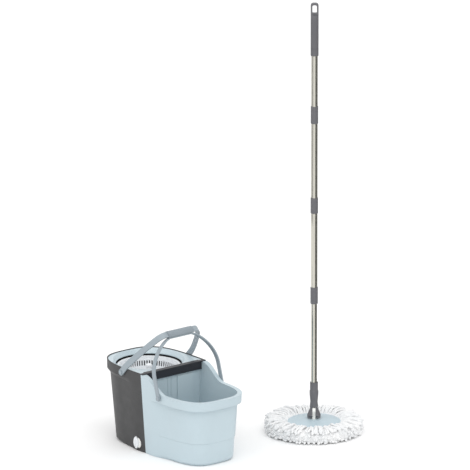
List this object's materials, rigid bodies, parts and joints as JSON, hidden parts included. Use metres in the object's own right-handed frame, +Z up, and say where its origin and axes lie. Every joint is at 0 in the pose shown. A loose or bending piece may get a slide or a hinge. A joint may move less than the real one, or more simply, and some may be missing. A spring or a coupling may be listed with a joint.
{
  "type": "spin mop",
  "caption": "Two-part spin bucket with a perforated spinning basket and folding bails, and a telescopic plunge-drive mop with a round fringed head.",
  "frame": {"origin": "on the floor under the bucket's crossbar, on its long middle plane", "axes": "+Z up; +X from the crossbar to the wash tub's round end, -X to the spin side; the mop stands on the +Y side"},
  "size_m": [0.5103, 0.6989, 1.31],
  "materials": {
    "blue_shell": "smooth moulded polypropylene, pale blue",
    "dark_shell": "fine-textured dark grey moulding",
    "tray_plastic": "smooth pale blue-white moulding",
    "white_plastic": "smooth white moulding",
    "grey_strap": "satin blue-grey moulding",
    "grey_grip": "satin blue-grey moulding, slightly darker",
    "dark_grip": "fine matt dark grey moulding",
    "steel_tube": "stainless tube, drawn finish",
    "steel_part": "plain steel",
    "rubber": "soft rubber",
    "acetal": "natural acetal bearing plastic",
    "disc_plastic": "smooth pale blue moulding",
    "microfibre": "white looped microfibre strands"
  },
  "bodies": {
    "bucket": {"tub": "blue_shell", "spin_housing": "dark_shell", "crossbar": "dark_shell", "crossbar_screws": "steel_part", "corner_stud": "dark_shell", "splash_tray": "tray_plastic", "spindle": "steel_part", "spindle_clip": "steel_part", "thrust_washer": "acetal", "spindle_post": "dark_shell", "post_screws": "steel_part", "drain_sleeve": "white_plastic", "carry_pivot_pins": "grey_strap", "latch_pivot_pins": "grey_strap"},
    "basket": {"basket": "tray_plastic", "basket_hub": "white_plastic", "hub_cap": "white_plastic", "basket_bush": "acetal"},
    "drain_plug": {"drain_plug": "white_plastic", "drain_seal": "rubber"},
    "carry_bail": {"carry_bail": "grey_strap", "carry_grip_upper": "grey_grip", "carry_grip_lower": "grey_grip"},
    "latch_bail": {"latch_bail": "grey_strap"},
    "mop_head": {"plate_hub": "white_plastic", "disc": "disc_plastic", "refill_ring": "white_plastic", "fringe": "microfibre"},
    "lower_pole": {"yoke": "dark_grip", "tilt_pin": "steel_part", "inner_tube": "steel_tube", "drive_nut": "acetal", "clutch_ring": "acetal", "retaining_ring": "steel_part", "bush_clip": "steel_part"},
    "slider": {"slider_bush": "acetal"},
    "upper_pole": {"pole_grip": "dark_grip", "pole_tube_1": "steel_tube", "pole_tube_2": "steel_tube", "pole_tube_3": "steel_tube", "collar_1": "dark_grip", "collar_2": "dark_grip", "collar_stud_1": "acetal", "collar_stud_2": "acetal", "gland": "dark_grip", "gland_bush": "acetal", "twist_rod": "steel_part", "rod_pin": "steel_part"}
  },
  "joints": [
    {"name": "basket_spin", "type": "hinge", "parent": "bucket", "child": "basket", "pos_m": [-0.11, 0, 0.165], "axis": [0, 0, 1], "continuous": true},
    {"name": "carry_bail_fold", "type": "hinge", "parent": "bucket", "child": "carry_bail", "pos_m": [-0.087, 0, 0.232], "axis": [0, -1, 0], "range_deg": [0, 112]},
    {"name": "latch_bail_fold", "type": "hinge", "parent": "bucket", "child": "latch_bail", "pos_m": [0.084, 0, 0.19], "axis": [0, 1, 0], "range_deg": [0, 92]},
    {"name": "drain_plug_pull", "type": "slide", "parent": "bucket", "child": "drain_plug", "axis": [0, -1, 0], "range_m": [0, 0.03]},
    {"name": "mop_lift", "type": "slide", "parent": "bucket", "child": "mop_head", "axis": [0, 0, 1], "range_m": [0, 0.4]},
    {"name": "pole_tilt", "type": "hinge", "parent": "mop_head", "child": "lower_pole", "pos_m": [0.14, 0.424, 0.064], "axis": [0.6307, 0.776, 0], "range_deg": [-75, 75]},
    {"name": "pole_spin", "type": "hinge", "parent": "lower_pole", "child": "slider", "pos_m": [0.14, 0.424, 0.45], "axis": [0, 0, 1], "continuous": true},
    {"name": "pole_plunge", "type": "slide", "parent": "slider", "child": "upper_pole", "axis": [0, 0, -1], "range_m": [0, 0.18]}
  ],
  "couplings": [
    {"joint": "pole_spin", "follows": "pole_plunge", "rad_per_m": -104.72}
  ]
}
